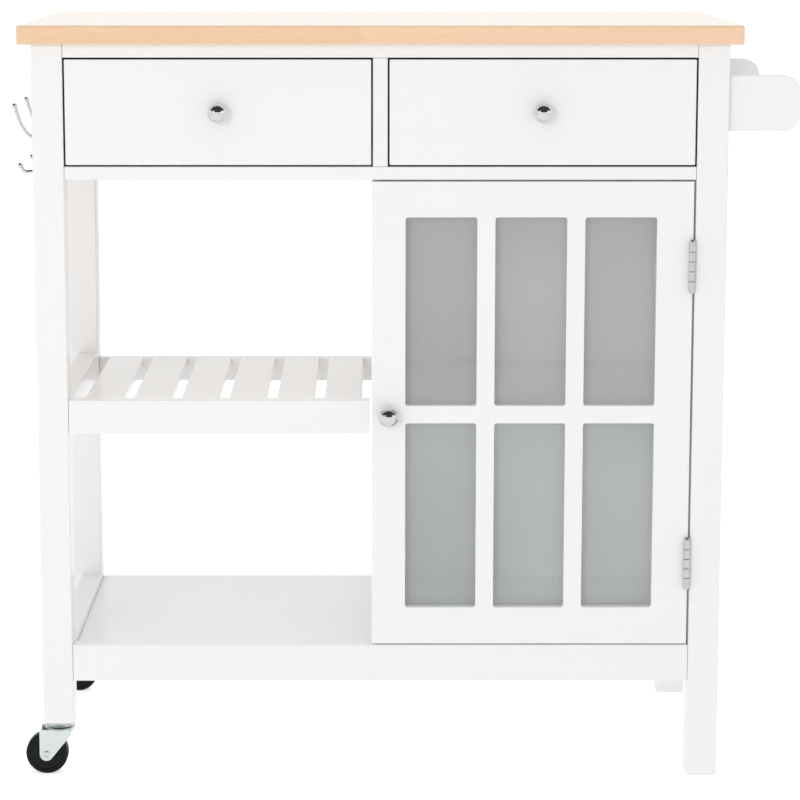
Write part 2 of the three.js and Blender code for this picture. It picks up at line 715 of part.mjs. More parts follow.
// A double coat hook on a panel whose outer face is X = 0, with Z = 0 at the middle of the plate.
function coatHookGeometry() {
  const { width, height, thickness } = HOOK_PLATE;
  const root = -thickness / 2;
  const tip = -HOOK_REACH + HOOK_TIP_RADIUS;
  const plate = block([-thickness - SEAM, -width / 2, -height / 2], [-SEAM, width / 2, height / 2]);
  const longProng = prong([
    [root, 8],
    [root - 19, 11],
    [root - 28.5, 21],
    [tip + 4, 34],
    [tip, 47],
  ]);
  const shortProng = prong([
    [root, -24],
    [root - 19, -30],
    [root - 28, -29.5],
    [tip + 5.5, -23],
  ]);
  return join(plate, ...longProng, ...shortProng);
}

function coatHooks() {
  const group = new THREE.Group();
  for (let i = 0; i < HOOK_COUNT; i++) {
    const hook = piece(`coat_hook_${i + 1}`, coatHookGeometry(), chrome);
    hook.position.set(-sideFaceX, -legOuterY + FIRST_HOOK + i * HOOK_PITCH, legTop - HOOK_DROP);
    group.add(hook);
  }
  return group;
}

// ---------------------------------------------------------------- towel rack

function towelRack() {
  const group = new THREE.Group();
  const x0 = legOuterX + SEAM;
  const x1 = legOuterX + BRACKET_REACH;
  const z1 = legTop - BRACKET_DROP;
  const z0 = z1 - BRACKET_HEIGHT;
  const radius = BRACKET_CORNER_RADIUS;
  const barX = x1 - BAR_FROM_END;
  const barZ = (z0 + z1) / 2;
  const outline = new THREE.Shape();
  outline.moveTo(x0, z0);
  outline.lineTo(x1 - radius, z0);
  outline.absarc(x1 - radius, z0 + radius, radius, -Math.PI / 2, 0);
  outline.absarc(x1 - radius, z1 - radius, radius, 0, Math.PI / 2);
  outline.lineTo(x0, z1);
  const innerY = legCentreY - BRACKET_THICKNESS / 2;
  const socketEnd = innerY + BAR_SOCKET_DEPTH;
  const socket = rod(BAR_RADIUS + BAR_PLAY, -socketEnd, socketEnd, 24, barX, barZ);
  for (const [row, y0] of [["front", -innerY - BRACKET_THICKNESS], ["rear", innerY]]) {
    const plank = plateXZ(outline, BRACKET_THICKNESS, 8).translate(0, y0, 0);
    group.add(piece(`towel_bracket_${row}`, cut(plank, socket), paint));
  }
  const barEnd = socketEnd - BAR_PLAY;
  group.add(piece("towel_bar", rod(BAR_RADIUS, -barEnd, barEnd, 24, barX, barZ), paint));
  return group;
}

// ---------------------------------------------------------------- the whole cart

const cart = new THREE.Group();
cart.add(frame(), cabinet(), slattedShelf(), drawers(), door(), casters(), coatHooks(), towelRack());

// The part's origin is on the floor, under the middle of the box around the cart.
const box = new THREE.Box3().setFromObject(cart, true);
const middle = box.getCenter(new THREE.Vector3());
cart.position.set(-middle.x, -middle.y, 0);

export default cart;
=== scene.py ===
import math

import bpy
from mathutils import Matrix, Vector


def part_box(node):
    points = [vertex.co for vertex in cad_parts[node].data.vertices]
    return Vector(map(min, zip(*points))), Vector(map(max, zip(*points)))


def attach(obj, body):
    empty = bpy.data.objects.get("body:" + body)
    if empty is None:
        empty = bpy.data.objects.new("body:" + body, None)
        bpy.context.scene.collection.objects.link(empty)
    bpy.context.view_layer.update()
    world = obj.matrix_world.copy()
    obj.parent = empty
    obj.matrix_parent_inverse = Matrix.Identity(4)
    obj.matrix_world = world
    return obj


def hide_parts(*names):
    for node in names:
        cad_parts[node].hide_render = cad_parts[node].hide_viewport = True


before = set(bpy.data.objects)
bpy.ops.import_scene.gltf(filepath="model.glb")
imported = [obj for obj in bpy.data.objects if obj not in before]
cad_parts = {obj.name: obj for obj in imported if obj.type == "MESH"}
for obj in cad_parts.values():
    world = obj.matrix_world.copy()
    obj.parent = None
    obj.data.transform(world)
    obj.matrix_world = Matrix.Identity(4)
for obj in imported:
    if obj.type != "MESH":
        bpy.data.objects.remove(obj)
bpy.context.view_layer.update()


# ---------------------------------------------------------------- worktop
# Edge-glued staves of a light hardwood, planed to 22 mm, with the long edges and corners softly rounded
# over and a clear satin varnish. It overhangs the legs on all four sides and is screwed down from below.


class Wire:
    """An output socket in a material. Arithmetic on it adds Math nodes, and node() adds any other node."""

    def __init__(self, socket):
        self.socket = socket

    def node(self, kind, settings=None, out=0, **inputs):
        """The wire out of a new node. _0, _1 and so on name sockets by their number."""
        tree = self.socket.id_data
        made = tree.nodes.new("ShaderNode" + kind)
        for name, value in (settings or {}).items():
            setattr(made, name, value)
        for name, value in inputs.items():
            target = made.inputs[int(name[1:]) if name[0] == "_" else name.replace("_", " ")]
            if isinstance(value, Wire):
                tree.links.new(value.socket, target)
            else:
                target.default_value = value
        return Wire(made.outputs[out])

    def math(self, operation, *values):
        return self.node("Math", {"operation": operation}, **{f"_{i}": v for i, v in enumerate(values)})

    def __add__(self, other):
        return self.math("ADD", self, other)

    def __sub__(self, other):
        return self.math("SUBTRACT", self, other)

    def __rsub__(self, other):
        return self.math("SUBTRACT", other, self)

    def __mul__(self, other):
        return self.math("MULTIPLY", self, other)

    def __truediv__(self, other):
        return self.math("DIVIDE", self, other)

    def __rtruediv__(self, other):
        return self.math("DIVIDE", other, self)

    __radd__ = __add__
    __rmul__ = __mul__

    def noise(self, scale, detail=3.0, stretch=(1, 1, 1), roughness=0.5):
        """Noise over this place, from 0 to 1, drawn out along the axes where stretch is small."""
        drawn = self.node("Mapping", Vector=self, Scale=stretch)
        return drawn.node("TexNoise", Vector=drawn, Scale=scale, Detail=detail, Roughness=roughness)

    def ramp(self, low, high):
        """0 where this is under low, 1 where it is over high, and a smooth step between."""
        settings = {"interpolation_type": "SMOOTHSTEP"}
        return self.node("MapRange", settings, Value=self, From_Min=low, From_Max=high)

    def blend(self, first, second):
        """A colour from first, where this is 0, to second, where it is 1."""
        return self.node("Mix", {"data_type": "RGBA"}, out=2, _0=self, _6=first, _7=second)

    def into(self, shader, socket):
        self.socket.id_data.links.new(self.socket, shader.inputs[socket])

    def bump(self, shader, depth):
        """Raises the surface by depth metres where this is 1."""
        self.node("Bump", Height=self, Distance=depth, Strength=1.0).into(shader, "Normal")


def start_finish(name, **constants):
    """A new material, its shader with its constant values, and the place on the piece."""
    material = bpy.data.materials.new(name)
    material.use_nodes = True
    shader = material.node_tree.nodes["Principled BSDF"]
    for socket, value in constants.items():
        shader.inputs[socket.replace("_", " ")].default_value = value
    place = Wire(material.node_tree.nodes.new("ShaderNodeTexCoord").outputs["Object"])
    return material, shader, place


def varnished_staves(low, stave_width, stave_length):
    """Staves side by side along X, each of its own tone and grain, under a satin varnish."""
    material, shader, place = start_finish("varnished_staves", Coat_Roughness=0.09, Specular_IOR_Level=0.5)
    x = place.node("SeparateXYZ", Vector=place, out="X")
    y = place.node("SeparateXYZ", Vector=place, out="Y")
    across = (y - low.y) / stave_width + 0.5
    row = across.math("FLOOR", across)
    slip = row.node("TexWhiteNoise", {"noise_dimensions": "1D"}, W=row)
    along = x / stave_length + slip * 7.0
    stave = row.node("CombineXYZ", X=row, Y=along.math("FLOOR", along))
    tone = stave.node("TexWhiteNoise", {"noise_dimensions": "3D"}, Vector=stave)

    # Each stave comes from another board, so its pattern starts somewhere else.
    jump = tone.node("CombineXYZ", X=tone * 3.0, Y=tone * 11.0, Z=tone * 5.0)
    spot = place.node("VectorMath", {"operation": "ADD"}, _0=place, _1=jump)
    figure = spot.noise(1.0, 5.0, (2.2, 42, 42), 0.55)
    streaks = spot.noise(1.0, 4.0, (9, 420, 420), 0.65)
    pores = spot.noise(1.0, 2.0, (60, 2600, 2600)).ramp(0.6, 0.72)

    colour = figure.ramp(0.3, 0.7).blend((0.90, 0.61, 0.395, 1), (0.88, 0.57, 0.34, 1))
    colour = (tone * 0.55).blend(colour, (0.93, 0.66, 0.455, 1))
    colour = (streaks.ramp(0.45, 0.75) * 0.28).blend(colour, (0.82, 0.50, 0.28, 1))
    colour = (pores * 0.2).blend(colour, (0.50, 0.30, 0.14, 1))

    # The two ends show the rings of the end grain and drink in more varnish. The underside has only a sealer.
    facing = place.node("TexCoord", out="Normal")
    end = facing.node("SeparateXYZ", Vector=facing, out="X")
    end = end.math("ABSOLUTE", end).ramp(0.5, 0.8)
    rings = spot.node("TexWave", {"wave_type": "RINGS", "rings_direction": "X"}, out="Fac",
                      Vector=spot, Scale=38.0, Distortion=2.5, Detail=2.0, Detail_Scale=1.2)
    bare = facing.node("SeparateXYZ", Vector=facing, out="Z").ramp(-0.5, -0.8)
    colour = bare.blend(colour, (0.93, 0.82, 0.70, 1))
    end_colour = rings.blend((0.86, 0.58, 0.34, 1), (0.78, 0.50, 0.27, 1))
    colour = end.blend(colour, end_colour)

    edge = across.math("FRACT", across) - 0.5
    glue_line = edge.math("ABSOLUTE", edge).ramp(0.491, 0.498)
    colour = (glue_line * 0.45).blend(colour, (0.45, 0.26, 0.11, 1))
    colour.into(shader, "Base Color")
    (0.24 + streaks * 0.12 - figure * 0.05).into(shader, "Roughness")
    (0.85 - pores * 0.2).into(shader, "Coat Weight")
    (streaks * 0.4 - pores - glue_line * 0.8).bump(shader, 0.00006)
    return material


def select_only(*pieces):
    bpy.ops.object.select_all(action="DESELECT")
    for piece in pieces:
        piece.select_set(True)
    bpy.context.view_layer.objects.active = pieces[0]


def settle(name, location=None, direction=None):
    """Names the new piece, and puts its place, size and turn into its mesh."""
    piece = bpy.context.object
    piece.name = name
    piece.data.name = name
    if location is not None:
        piece.location = location
    if direction is not None:
        piece.rotation_euler = Vector(direction).to_track_quat("Z", "Y").to_euler()
    bpy.ops.object.transform_apply()
    return piece


def sawn(name, low, high):
    """A blank between two corners."""
    bpy.ops.object.select_all(action="DESELECT")
    low, high = Vector(low), Vector(high)
    bpy.ops.mesh.primitive_cube_add(size=1, location=(low + high) / 2, scale=high - low)
    return settle(name)


def apply_modifier(piece, kind, **settings):
    select_only(piece)
    bpy.ops.object.modifier_add(type=kind)
    modifier = piece.modifiers[-1]
    for name, value in settings.items():
        setattr(modifier, name, value)
    bpy.ops.object.modifier_apply(modifier=modifier.name)


def round_over(piece, radius, segments=3):
    """Rounds every sharp edge, and keeps the flat faces flat."""
    select_only(piece)
    bpy.ops.object.shade_smooth()
    apply_modifier(piece, "BEVEL", width=radius, segments=segments, limit_method="ANGLE", angle_limit=0.6)
    apply_modifier(piece, "WEIGHTED_NORMAL", keep_sharp=True)


def fit(piece, body, slot, finish, *nodes):
    """Gives a piece its finish, the body it moves with and the nodes that it stands for."""
    piece.data.materials.clear()
    piece.data.materials.append(finish)
    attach(piece, body)
    if nodes:
        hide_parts(*nodes)


STAVE_WIDTH = 0.041
STAVE_LENGTH = 0.62

top_low, top_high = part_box("worktop")
worktop = sawn("worktop_staves", top_low, top_high)
round_over(worktop, radius=0.0022, segments=4)
varnished = varnished_staves(top_low, STAVE_WIDTH, STAVE_LENGTH)
fit(worktop, "frame", "worktop_wood", varnished, "worktop")


# ---------------------------------------------------------------- legs
# Square posts of finger-jointed softwood, sanded, with their long edges eased, and sprayed with satin white
# lacquer. The two left legs are short and stand on casters, and the two right legs reach the floor.


def white_lacquer(along):
    """Sprayed satin lacquer, through which the wood's grain along X, Y or Z only just shows."""
    gloss = {"Specular_IOR_Level": 0.45, "Coat_Weight": 0.8, "Coat_Roughness": 0.14}
    material, shader, place = start_finish("white_lacquer_" + along, **gloss)
    stretch = [0.03 if axis == along else 1.0 for axis in "xyz"]
    grain = place.noise(190.0, 4.0, stretch, 0.6)
    peel = place.noise(620.0, 1.0)
    cloud = place.noise(7.0, 2.0)
    colour = cloud.blend((0.912, 0.905, 0.907, 1), (0.925, 0.918, 0.920, 1))
    colour = (grain.ramp(0.55, 0.8) * 0.25).blend(colour, (0.86, 0.845, 0.84, 1))
    colour.into(shader, "Base Color")
    (0.34 + cloud * 0.08 + peel * 0.08).into(shader, "Roughness")
    grain.bump(shader, 0.00002)
    return material


lacquer = {along: white_lacquer(along) for along in "xyz"}


def painted_board(node, along, radius=0.0010):
    """One sawn board with eased edges and a coat of lacquer, in place of the node of its name."""
    board = sawn(node + "_board", *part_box(node))
    round_over(board, radius)
    fit(board, "frame", "white_paint", lacquer[along], node)


for row in ("front", "rear"):
    for side in ("left", "right"):
        painted_board(f"leg_{row}_{side}", "z", radius=0.0018)


# ---------------------------------------------------------------- rails, aprons and panels of the frame
# Solid rails join the legs at the front, sides and back, and thin panels close the upper sides and back.
# All are glued and bolted between the legs and lacquered with them, so a hairline shows at each joint.

for node in ("top_rail_front", "drawer_rail_front", "apron_front", "apron_rear", "back_panel_upper"):
    painted_board(node, "x")
for node in ("apron_left", "apron_right", "side_panel_left", "side_panel_right"):
    painted_board(node, "y")
painted_board("drawer_partition", "z")


# ---------------------------------------------------------------- bottom board and cabinet
# The bottom board runs the cart's whole width, a little below the tops of the aprons that hold it. An
# upright divider and a thin back sheet make its right half a cabinet, with one loose shelf.

painted_board("bottom_board", "x", radius=0.0006)
painted_board("cabinet_divider", "z")
painted_board("cabinet_back", "x", radius=0.0004)
painted_board("cabinet_shelf", "x", radius=0.0012)


# ---------------------------------------------------------------- slatted shelf of the open bay
# Six flat slats run front to back between a front and a rear rail, with even gaps, and a third rail closes
# the left end. Slats and rails are planed softwood with eased edges, under the same lacquer.

for node in ("shelf_rail_front", "shelf_rail_rear"):
    painted_board(node, "x")
painted_board("shelf_rail_left", "y")
SLATS = 6
for i in range(SLATS):
    painted_board(f"slat_{i + 1}", "y", radius=0.0014)


# ---------------------------------------------------------------- drawers
# Each has a front with rounded edges under the white lacquer, and a box of bare sanded board: two sides and
# a back, and a thin bottom held in a groove all round.


def bare_board(along):
    """Sanded pale wood with a faint grain along X, Y or Z, and no varnish."""
    material, shader, place = start_finish("bare_board_" + along, Specular_IOR_Level=0.3)
    stretch = [0.035 if axis == along else 1.0 for axis in "xyz"]
    figure = place.noise(34.0, 4.0, stretch, 0.55)
    fibres = place.noise(420.0, 3.0, stretch, 0.6)
    colour = figure.ramp(0.3, 0.7).blend((0.83, 0.73, 0.56, 1), (0.72, 0.59, 0.41, 1))
    colour = (fibres.ramp(0.5, 0.8) * 0.4).blend(colour, (0.60, 0.46, 0.30, 1))
    colour.into(shader, "Base Color")
    (0.62 + fibres * 0.15).into(shader, "Roughness")
    fibres.bump(shader, 0.0001)
    return material


def cut_out(piece, cutter):
    """Cuts the cutter's shape out of a piece and throws the cutter away."""
    apply_modifier(piece, "BOOLEAN", operation="DIFFERENCE", solver="EXACT", object=cutter)
    bpy.data.objects.remove(cutter)


def joined(name, pieces):
    select_only(*pieces)
    bpy.ops.object.join()
    return settle(name)


def painted_gap_shade():
    """Matt black painted shade for the gaps round the drawer fronts, with a fine skin."""
    material, shader, place = start_finish("painted_gap_shade", Specular_IOR_Level=0.2)
    skin = place.noise(800.0, 2.0)
    skin.blend((0.006, 0.006, 0.006, 1), (0.014, 0.014, 0.014, 1)).into(shader, "Base Color")
    (0.7 + skin * 0.2).into(shader, "Roughness")
    skin.bump(shader, 0.00005)
    return material


bare_wood = {along: bare_board(along) for along in "xy"}
gap_shade_finish = painted_gap_shade()
GAP_SHADE_SPREAD = Vector((0.0017, 0, 0.0017))  # how far the black strip of painted gap shade stands out round a drawer front
GAP_SHADE_SETBACK = 0.0025
GAP_SHADE_DEPTH = 0.004
GROOVE_PLAY = Vector((0.00025, 0.00025, 0.00025))
DRAWER_WALL = 0.012

for side in ("left", "right"):
    body = f"drawer_{side}"
    bottom_low, bottom_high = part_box(f"{body}_bottom")
    groove = (bottom_low - GROOVE_PLAY, bottom_high + GROOVE_PLAY)

    front = sawn(f"{body}_front_panel", *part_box(f"{body}_front"))
    cut_out(front, sawn("cutter", *groove))
    round_over(front, radius=0.0014)
    fit(front, body, "white_paint", lacquer["x"], f"{body}_front")

    # A black strip round the front's edges closes the gap. It is painted shade, a dark sheet where the gap is
    # only in shadow, and it shows as a fine black outline.
    front_low, front_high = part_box(f"{body}_front")
    shade_strip_low = Vector((front_low.x, front_low.y + GAP_SHADE_SETBACK, front_low.z)) - GAP_SHADE_SPREAD
    shade_strip_high = Vector((front_high.x, front_low.y + GAP_SHADE_SETBACK + GAP_SHADE_DEPTH, front_high.z)) + GAP_SHADE_SPREAD
    shade_strip = sawn(f"{body}_gap_shade_strip", shade_strip_low, shade_strip_high)
    cut_out(shade_strip, sawn("cutter", front_low, front_high))
    round_over(shade_strip, radius=0.0003, segments=2)
    fit(shade_strip, body, "tyre_rubber", gap_shade_finish)

    low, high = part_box(f"{body}_wrap")
    near_wall = sawn("near_wall", low, (low.x + DRAWER_WALL, high.y, high.z))
    far_wall = sawn("far_wall", (high.x - DRAWER_WALL, low.y, low.z), high)
    walls = joined(f"{body}_sides", [near_wall, far_wall])
    cut_out(walls, sawn("cutter", *groove))
    round_over(walls, radius=0.0010)
    fit(walls, body, "drawer_wood", bare_wood["y"], f"{body}_wrap")

    back_low = (low.x + DRAWER_WALL, high.y - DRAWER_WALL, low.z)
    back = sawn(f"{body}_back", back_low, (high.x - DRAWER_WALL, high.y, high.z))
    cut_out(back, sawn("cutter", *groove))
    round_over(back, radius=0.0010)
    fit(back, body, "drawer_wood", bare_wood["x"])

    bottom = sawn(f"{body}_bottom_sheet", bottom_low, bottom_high)
    round_over(bottom, radius=0.0003, segments=2)
    fit(bottom, body, "drawer_wood", bare_wood["x"], f"{body}_bottom")


# ---------------------------------------------------------------- knobs
# Ball knobs turned from zinc alloy and chrome plated: a round foot, a narrow neck and a ball about 24 mm
# across, each held by one screw from behind. There is one on each drawer and one half way up the door.


def chrome():
    """Polished chrome plate, a little clouded by fine polishing marks."""
    material, shader, place = start_finish("chrome_plate", Metallic=1.0)
    haze = place.noise(90.0, 3.0)
    marks = place.noise(900.0, 2.0, (1, 1, 0.15))
    haze.blend((0.68, 0.685, 0.70, 1), (0.76, 0.765, 0.775, 1)).into(shader, "Base Color")
    (0.035 + haze * 0.03 + marks * 0.02).into(shader, "Roughness")
    (haze + marks * 0.3).bump(shader, 0.00001)
    return material


def turned(name, foot, direction, rings, sides=40, smooth=40):
    """A piece turned on a lathe. Each ring is a radius and its distance from the foot along the axis."""
    bpy.ops.object.select_all(action="DESELECT")
    (radius, distance), *others = rings
    bpy.ops.mesh.primitive_circle_add(vertices=sides, radius=radius, fill_type="NGON")
    bpy.ops.object.mode_set(mode="EDIT")
    bpy.ops.mesh.select_all(action="SELECT")
    for next_radius, next_distance in others:
        step = (0, 0, next_distance - distance)
        bpy.ops.mesh.extrude_region_move(TRANSFORM_OT_translate={"value": step})
        ratio = next_radius / radius
        bpy.ops.transform.resize(value=(ratio, ratio, 1), center_override=(0, 0, next_distance))
        radius, distance = next_radius, next_distance
    bpy.ops.mesh.select_all(action="SELECT")
    bpy.ops.mesh.normals_make_consistent(inside=False)
    bpy.ops.object.mode_set(mode="OBJECT")
    bpy.ops.object.shade_smooth_by_angle(angle=math.radians(smooth))
    return settle(name, foot, direction)


def arc_rings(radius, centre, start, end, steps, base=0.0):
    """Rings round a ball, or round a torus with its tube at base from the axis; angles start at the foot."""
    angles = [math.radians(start + (end - start) * i / steps) for i in range(steps + 1)]
    return [(base + radius * math.sin(a), centre - radius * math.cos(a)) for a in angles]


def copy_to(piece, name, shift):
    """A copy with its own mesh, moved by shift."""
    select_only(piece)
    bpy.ops.object.duplicate()
    return settle(name, shift)


chrome_plate = chrome()
knob_low, knob_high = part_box("drawer_left_knob")
knob_foot = Vector(((knob_low.x + knob_high.x) / 2, knob_high.y, (knob_low.z + knob_high.z) / 2))
ball_radius = (knob_high.x - knob_low.x) / 2
ball_centre = knob_high.y - knob_low.y - ball_radius
knob_rings = [
    (0.0078, 0.0),
    (0.0080, 0.0003),
    (0.0080, 0.0014),
    (0.0076, 0.0018),
    (0.0052, 0.0019),
    (0.0046, 0.0023),
    *arc_rings(ball_radius, ball_centre, start=26, end=178, steps=26),
]
first_knob = turned("knob_drawer_left", knob_foot, (0, -1, 0), knob_rings, 64)
knobs = [(first_knob, "drawer_left", "drawer_left_knob")]
for body, node in (("drawer_right", "drawer_right_knob"), ("door", "door_knob")):
    knobs.append((copy_to(first_knob, "knob_" + body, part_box(node)[0] - knob_low), body, node))
for knob, body, node in knobs:
    fit(knob, body, "chrome", chrome_plate, node)


# ---------------------------------------------------------------- screws and drawer runners
# Each drawer slides on two angles of folded sheet steel with a white powder coat, screwed to the legs, side
# panel or partition. One pattern of cross-head screw, in two sizes, is used all over the cart.


def plated_steel():
    """Nickel-plated steel with a fine brushed grain along Z."""
    material, shader, place = start_finish("plated_steel", Metallic=1.0)
    brushed = place.noise(1500.0, 3.0, (1, 1, 0.06))
    cloud = place.noise(45.0, 3.0)
    brushed.blend((0.60, 0.585, 0.555, 1), (0.74, 0.73, 0.705, 1)).into(shader, "Base Color")
    (0.22 + brushed * 0.14 + cloud * 0.08).into(shader, "Roughness")
    brushed.bump(shader, 0.00002)
    return material


def powder_coat():
    """White powder coat with its fine orange-peel skin."""
    material, shader, place = start_finish("powder_coat", Specular_IOR_Level=0.5)
    peel = place.noise(1100.0, 2.0)
    cloud = place.noise(20.0, 2.0)
    cloud.blend((0.80, 0.80, 0.785, 1), (0.85, 0.85, 0.84, 1)).into(shader, "Base Color")
    (0.34 + peel * 0.14).into(shader, "Roughness")
    peel.bump(shader, 0.00008)
    return material


SCREW_HEAD = 0.55  # a head's height, as a share of its radius
SCREW_CROWN = 1.04  # the middle of its dome, as a share of that height


def screw_model(radius):
    """A pan-head screw with a cross recess, its head's underside at the origin and its head towards +Z."""
    height = radius * SCREW_HEAD
    profile = [(0.96, 0.0), (1.0, 0.25), (0.8, 0.75), (0.45, 1.0), (0.05, SCREW_CROWN)]
    rings = [(radius * across, height * up) for across, up in profile]
    head = turned("screw_pattern", (0, 0, 0), (0, 0, 1), rings, 20)
    wide, narrow = radius * 0.62, radius * 0.13
    for x, y in ((wide, narrow), (narrow, wide)):
        cut_out(head, sawn("cutter", (-x, -y, height * 0.45), (x, y, height * 2)))
    select_only(head)
    bpy.ops.object.shade_smooth_by_angle(angle=math.radians(35))
    return head


def screwed(name, pattern, places):
    """Screws in one piece: each goes in at a point, and its head faces a direction."""
    copies = []
    for point, direction in places:
        select_only(pattern)
        bpy.ops.object.duplicate()
        copies.append(settle("screw", point, direction))
    return joined(name, copies)


plated = plated_steel()
runner_coat = powder_coat()
small_screw = screw_model(0.0030)
RUNNER_SHEET = 0.0015
RUNNER_SCREW_DROP = 0.010
RUNNER_SCREWS = (0.1, 0.5, 0.9)  # along the runner, as shares of its length

for side in ("left", "right"):
    for hand in ("outer", "inner"):
        node = f"drawer_{side}_runner_{hand}"
        low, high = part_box(node)
        ledge_top = low.z + RUNNER_SHEET
        faces_right = (side == "left") == (hand == "outer")
        if faces_right:
            web = sawn("web", low, (low.x + RUNNER_SHEET, high.y, high.z))
            ledge = sawn("ledge", (low.x + RUNNER_SHEET / 2, low.y, low.z), (high.x, high.y, ledge_top))
        else:
            web = sawn("web", (high.x - RUNNER_SHEET, low.y, low.z), high)
            ledge = sawn("ledge", low, (high.x - RUNNER_SHEET / 2, high.y, ledge_top))
        apply_modifier(web, "BOOLEAN", operation="UNION", solver="EXACT", object=ledge)
        bpy.data.objects.remove(ledge)
        web.name = node + "_angle"
        round_over(web, radius=0.0004, segments=2)
        fit(web, "frame", "runner_steel", runner_coat, node)
        face = low.x + RUNNER_SHEET if faces_right else high.x - RUNNER_SHEET
        facing = (1 if faces_right else -1, 0, 0)
        spots = [low.y + (high.y - low.y) * share for share in RUNNER_SCREWS]
        places = [((face, y, high.z - RUNNER_SCREW_DROP), facing) for y in spots]
        screws = screwed(node + "_screws", small_screw, places)
        fit(screws, "frame", "hinge_nickel", plated)


# ---------------------------------------------------------------- door
# One routed board with six lights in two rows of three, lacquered white, with rounded inside corners. A
# sheet of glass lies in a rebate behind the lights, held by small clips.


def round_corners(blank, radius, segments, beyond=-math.inf):
    """Rounds a blank's edges that run from front to back, where they lie to the right of a place."""
    bpy.ops.object.mode_set(mode="EDIT")
    bpy.ops.mesh.select_all(action="DESELECT")
    bpy.ops.mesh.select_mode(type="EDGE")
    bpy.ops.object.mode_set(mode="OBJECT")
    for edge in blank.data.edges:
        first, second = (blank.data.vertices[i].co for i in edge.vertices)
        runs_back = abs(first.y - second.y) > abs(first.x - second.x) + abs(first.z - second.z)
        edge.select = runs_back and first.x > beyond
    bpy.ops.object.mode_set(mode="EDIT")
    bpy.ops.mesh.bevel(offset=radius, segments=segments)
    bpy.ops.object.mode_set(mode="OBJECT")


def window_glass():
    """Clear sheet glass with a faint grey-green cast, a light haze and a slow ripple."""
    material, shader, place = start_finish("window_glass", IOR=1.5, Specular_IOR_Level=0.5)
    ripple = place.noise(9.0, 2.0)
    ripple.blend((0.79, 0.86, 0.855, 1), (0.85, 0.91, 0.905, 1)).into(shader, "Base Color")
    (0.02 + ripple * 0.03).into(shader, "Roughness")
    (0.20 + ripple * 0.03).into(shader, "Alpha")
    ripple.bump(shader, 0.00005)
    return material


MUNTIN = 0.021
LIGHT_CORNER = 0.003
REBATE = 0.008
GLASS_PLAY = 0.0005
OVERRUN = 0.01  # how far a cutter passes the face that it cuts through
door_low, door_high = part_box("door_frame")
glass_low, glass_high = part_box("door_glass")
margin = REBATE - GLASS_PLAY
lights_low = Vector((glass_low.x + margin, door_low.y, glass_low.z + margin))
lights_high = Vector((glass_high.x - margin, door_high.y, glass_high.z - margin))
pane_width = (lights_high.x - lights_low.x - 2 * MUNTIN) / 3
pane_height = (lights_high.z - lights_low.z - MUNTIN) / 2

door = sawn("door_board", door_low, door_high)
for column in range(3):
    for row in range(2):
        x = lights_low.x + column * (pane_width + MUNTIN)
        z = lights_low.z + row * (pane_height + MUNTIN)
        light_high = (x + pane_width, door_high.y + OVERRUN, z + pane_height)
        light = sawn("cutter", (x, door_low.y - OVERRUN, z), light_high)
        round_corners(light, LIGHT_CORNER, 5)
        cut_out(door, light)
rebate_low = (lights_low.x - REBATE, glass_low.y - GLASS_PLAY, lights_low.z - REBATE)
rebate_high = (lights_high.x + REBATE, door_high.y + OVERRUN, lights_high.z + REBATE)
cut_out(door, sawn("cutter", rebate_low, rebate_high))
round_over(door, radius=0.0009)
fit(door, "door", "white_paint", lacquer["z"], "door_frame")

glass = sawn("door_glass_sheet", glass_low, glass_high)
round_over(glass, radius=0.0004, segments=2)
fit(glass, "door", "door_glass", window_glass(), "door_glass")

CLIP = Vector((0.009, 0.0012, 0.014))  # half its width, its thickness and its height
CLIPS = (0.14, 0.5, 0.86)  # up the rebate, as shares of its height
clips = []
clip_screws = []
for x, inward in ((rebate_low[0], 1), (rebate_high[0], -1)):
    for share in CLIPS:
        z = rebate_low[2] + (rebate_high[2] - rebate_low[2]) * share
        clip_low = (x - CLIP.x, door_high.y, z - CLIP.z / 2)
        clip_high = (x + CLIP.x, door_high.y + CLIP.y, z + CLIP.z / 2)
        clips.append(sawn("clip", clip_low, clip_high))
        clip_screws.append(((x - inward * CLIP.x * 0.5, door_high.y + CLIP.y, z), (0, 1, 0)))
clips = joined("glass_clips", clips)
round_over(clips, radius=0.0004, segments=2)
fit(clips, "door", "white_paint", runner_coat)
fit(screwed("glass_clip_screws", small_screw, clip_screws), "door", "hinge_nickel", plated)


# ---------------------------------------------------------------- shelf pins, door catch and hidden screws
# The loose shelf lies on four nickel-plated pins. A magnetic catch on the divider holds a steel plate on
# the back of the door. Screws behind the drawer fronts and the door hold the knobs, and others fix the back
# panels.


def white_plastic():
    """White moulded plastic with a fine matt skin."""
    material, shader, place = start_finish("white_plastic", Specular_IOR_Level=0.4)
    skin = place.noise(900.0, 3.0)
    cloud = place.noise(60.0, 2.0)
    cloud.blend((0.84, 0.84, 0.82, 1), (0.88, 0.88, 0.865, 1)).into(shader, "Base Color")
    (0.42 + skin * 0.14).into(shader, "Roughness")
    skin.bump(shader, 0.00004)
    return material


moulded = white_plastic()
shelf_low, shelf_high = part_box("cabinet_shelf")
divider_low, divider_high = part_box("cabinet_divider")
panel_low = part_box("side_panel_right")[0]
PIN = 0.0025  # its radius
PIN_GAP = 0.0001
PIN_INSETS = (0.035, 0.045)  # from the shelf's front and back edges
FAR_PIN_EXTRA = 0.0060  # the right-hand pins cross a wider gap to the shelf
pin_rings = [(PIN * 1.8, 0.0), (PIN * 1.8, 0.0008), (PIN, 0.0012), (PIN, 0.0120), (PIN * 0.7, 0.0128)]
long_pin_rings = pin_rings[:3] + [(radius, distance + FAR_PIN_EXTRA) for radius, distance in pin_rings[3:]]
pin_z = shelf_low.z - PIN - PIN_GAP
pin_ys = (shelf_low.y + PIN_INSETS[0], shelf_high.y - PIN_INSETS[1])
walls = (("left", divider_high.x, 1, pin_rings), ("right", panel_low.x, -1, long_pin_rings))
for wall, x, inward, rings in walls:
    pins = [turned("pin", (x, y, pin_z), (inward, 0, 0), rings, 24, 35) for y in pin_ys]
    fit(joined(f"shelf_pins_{wall}", pins), "frame", "hinge_nickel", plated)

